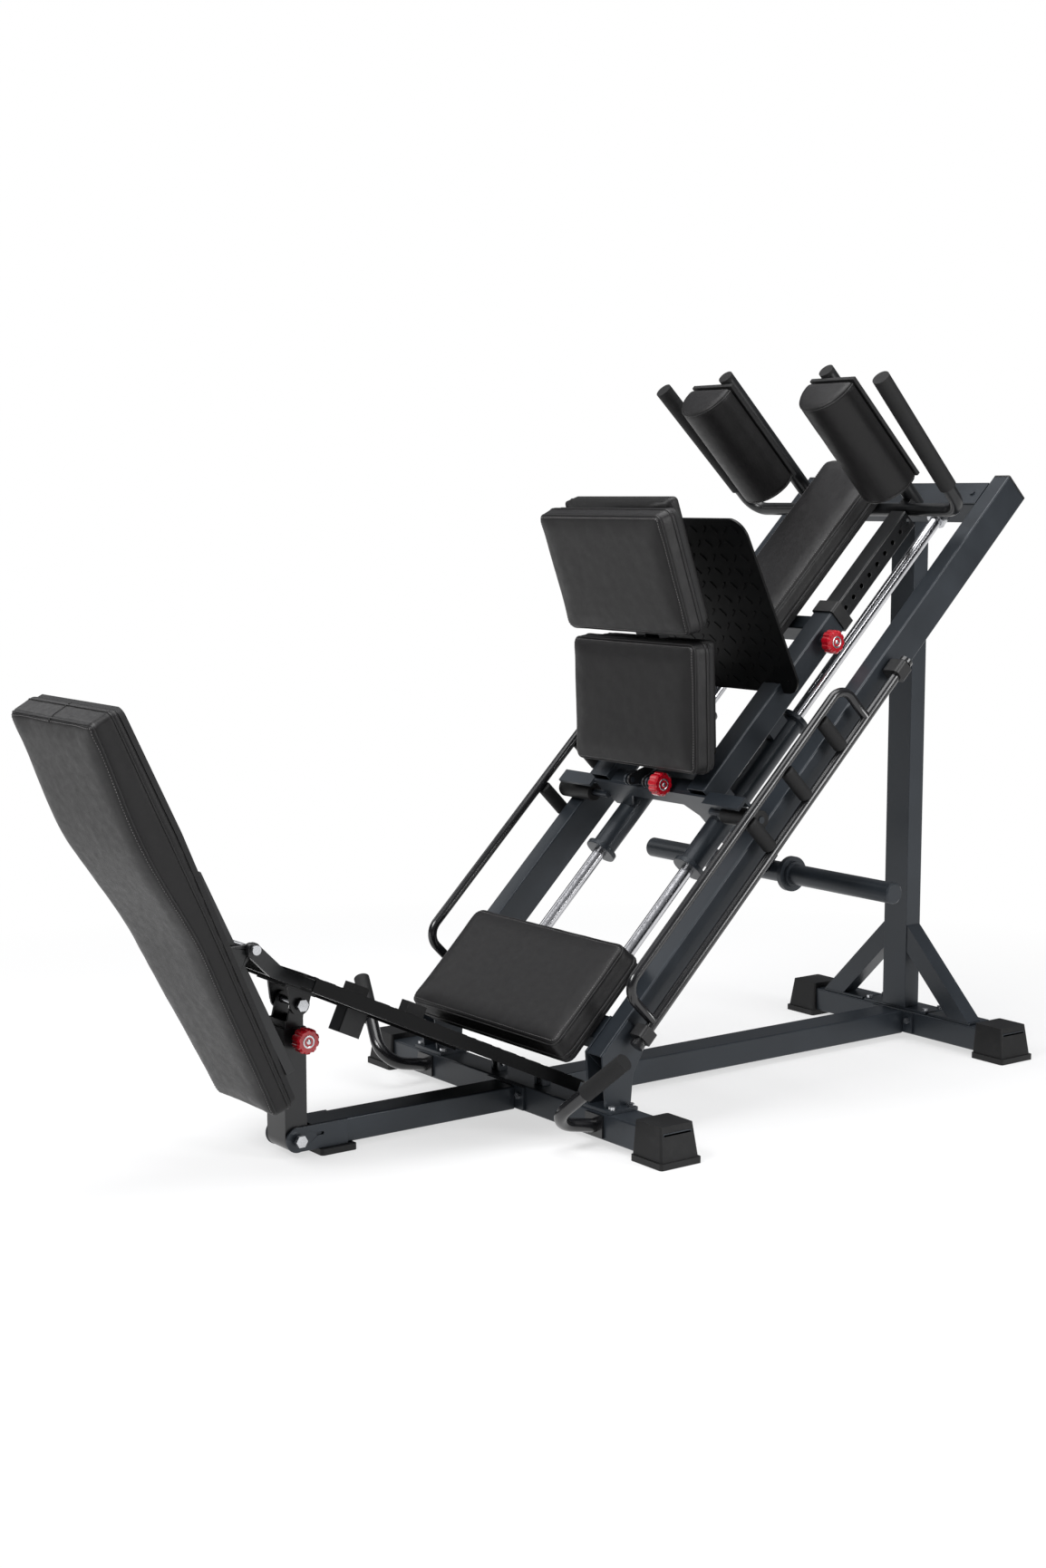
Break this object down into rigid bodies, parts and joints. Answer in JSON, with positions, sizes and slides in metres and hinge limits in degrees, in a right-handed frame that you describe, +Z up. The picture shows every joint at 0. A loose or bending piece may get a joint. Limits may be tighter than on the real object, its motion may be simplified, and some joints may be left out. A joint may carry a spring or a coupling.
{
  "type": "leg press machine",
  "caption": "Plate-loaded 45 degree sled machine for leg press and hack squat, with guide rods, seat, flip-over back pad, shoulder yoke and swing-out lockouts.",
  "frame": {"origin": "on the floor, at the middle of the machine's bounding box in X and Y", "axes": "+X to the side with the red height knob, +Y from the front upright to the rear post, +Z up"},
  "size_m": [1.148, 2.459, 1.7073],
  "materials": {
    "frame_paint": "dark blue-grey satin powder coat",
    "black_gloss": "black gloss powder coat",
    "tread_plate": "black textured powder coat on checker plate",
    "chrome": "polished hard chrome",
    "zinc_steel": "bright zinc plate",
    "pad_cover": "matt black grained upholstery vinyl with sewn seams",
    "pad_board": "black painted plywood",
    "black_rubber": "moulded rubber and foam",
    "black_plastic": "moulded matt plastic",
    "red_knob": "glossy red plastic"
  },
  "bodies": {
    "base": {"front_cross_beam": "frame_paint", "rear_cross_beam": "frame_paint", "centre_beams": "frame_paint", "joint_plates": "frame_paint", "pivot_brackets": "frame_paint", "floor_shoes": "black_rubber", "side_rails": "frame_paint", "rail_feet": "frame_paint", "rail_end_caps": "black_plastic", "rail_cross_members": "frame_paint", "guide_rods": "chrome", "rod_end_collars": "zinc_steel", "rod_bumpers": "black_rubber", "rear_post": "frame_paint", "rear_gussets": "frame_paint", "frame_fasteners": "zinc_steel", "seat_board": "pad_board", "seat_cushion": "pad_cover", "side_handles": "frame_paint", "side_handle_grips": "black_rubber", "lockout_bearings": "black_plastic"},
    "upright_outer": {"upright_sleeve": "frame_paint", "upright_bumper": "black_rubber"},
    "upright_inner": {"upright_post": "frame_paint"},
    "height_pin": {"height_pin": "red_knob"},
    "platform": {"foot_platform": "tread_plate", "platform_frame": "frame_paint", "platform_pivot_pins": "zinc_steel", "pad_rests": "black_rubber"},
    "back_pad": {"back_pad_board": "pad_board", "back_pad_cushion": "pad_cover", "back_pad_frame": "frame_paint"},
    "sled": {"side_sleeves": "frame_paint", "sleeve_collars": "black_plastic", "bearing_housings": "frame_paint", "sled_cross_tubes": "frame_paint", "sled_brackets": "frame_paint", "catch_rollers": "black_rubber", "weight_drop_tube": "frame_paint", "weight_bar": "frame_paint", "press_plate": "tread_plate", "press_plate_gussets": "frame_paint", "sled_pad_board": "pad_board", "sled_pad_cushion": "pad_cover"},
    "centre_pads": {"centre_cushion_lower": "pad_cover", "centre_cushion_upper": "pad_cover", "centre_pad_boards": "pad_board", "centre_pad_post": "frame_paint"},
    "fold_lock_pin": {"fold_lock_pin": "red_knob"},
    "yoke": {"yoke_bar": "frame_paint", "yoke_tubes": "frame_paint", "shoulder_pad_boards": "pad_board", "shoulder_pads": "pad_cover", "yoke_grips": "black_rubber"},
    "yoke_pin_right": {"yoke_pin_right": "red_knob"},
    "yoke_pin_left": {"yoke_pin_left": "red_knob"},
    "lockout_right": {"lockout_ladder_right": "black_gloss", "lockout_rungs_right": "black_rubber"},
    "lockout_left": {"lockout_ladder_left": "black_gloss", "lockout_rungs_left": "black_rubber"}
  },
  "joints": [
    {"name": "sled_slide", "type": "slide", "parent": "base", "child": "sled", "axis": [0, 0.7071, 0.7071], "range_m": [-0.36, 0.52]},
    {"name": "yoke_slide", "type": "slide", "parent": "sled", "child": "yoke", "axis": [0, 0.7071, 0.7071], "range_m": [-0.28, 0.04]},
    {"name": "yoke_pin_right_pull", "type": "slide", "parent": "sled", "child": "yoke_pin_right", "axis": [1, 0, 0], "range_m": [0, 0.012], "stiffness_N_per_m": 400},
    {"name": "yoke_pin_left_pull", "type": "slide", "parent": "sled", "child": "yoke_pin_left", "axis": [-1, 0, 0], "range_m": [0, 0.012], "stiffness_N_per_m": 400},
    {"name": "centre_pad_fold", "type": "hinge", "parent": "sled", "child": "centre_pads", "pos_m": [0, 0.2705, 0.73603], "axis": [1, 0, 0], "range_deg": [0, 65]},
    {"name": "fold_lock_pin_pull", "type": "slide", "parent": "sled", "child": "fold_lock_pin", "axis": [1, 0, 0], "range_m": [0, 0.012], "stiffness_N_per_m": 400},
    {"name": "lockout_right_swing", "type": "hinge", "parent": "base", "child": "lockout_right", "pos_m": [0.383, 0.36207, 0.62367], "axis": [0, 0.7071, 0.7071], "range_deg": [0, 50]},
    {"name": "lockout_left_swing", "type": "hinge", "parent": "base", "child": "lockout_left", "pos_m": [-0.383, 0.36207, 0.62367], "axis": [0, -0.7071, -0.7071], "range_deg": [0, 50]},
    {"name": "platform_tilt", "type": "hinge", "parent": "base", "child": "platform", "pos_m": [0, -0.07549, 0.093], "axis": [1, 0, 0], "range_deg": [-6, 0]},
    {"name": "upright_lean", "type": "hinge", "parent": "base", "child": "upright_outer", "pos_m": [0, -0.69549, 0.041], "axis": [1, 0, 0], "range_deg": [-4.7, 0]},
    {"name": "upright_extend", "type": "slide", "parent": "upright_outer", "child": "upright_inner", "axis": [0, 0, 1], "range_m": [0, 0.066]},
    {"name": "height_pin_pull", "type": "slide", "parent": "upright_outer", "child": "height_pin", "axis": [1, 0, 0], "range_m": [0, 0.012], "stiffness_N_per_m": 400},
    {"name": "back_pad_flip", "type": "hinge", "parent": "platform", "child": "back_pad", "pos_m": [0, -0.8589, 0.4919], "axis": [1, 0, 0], "range_deg": [-140, 0]}
  ],
  "couplings": [
    {"joint": "upright_lean", "follows": "platform_tilt", "ratio": 0.772},
    {"joint": "upright_extend", "follows": "platform_tilt", "m_per_rad": -0.6148}
  ]
}
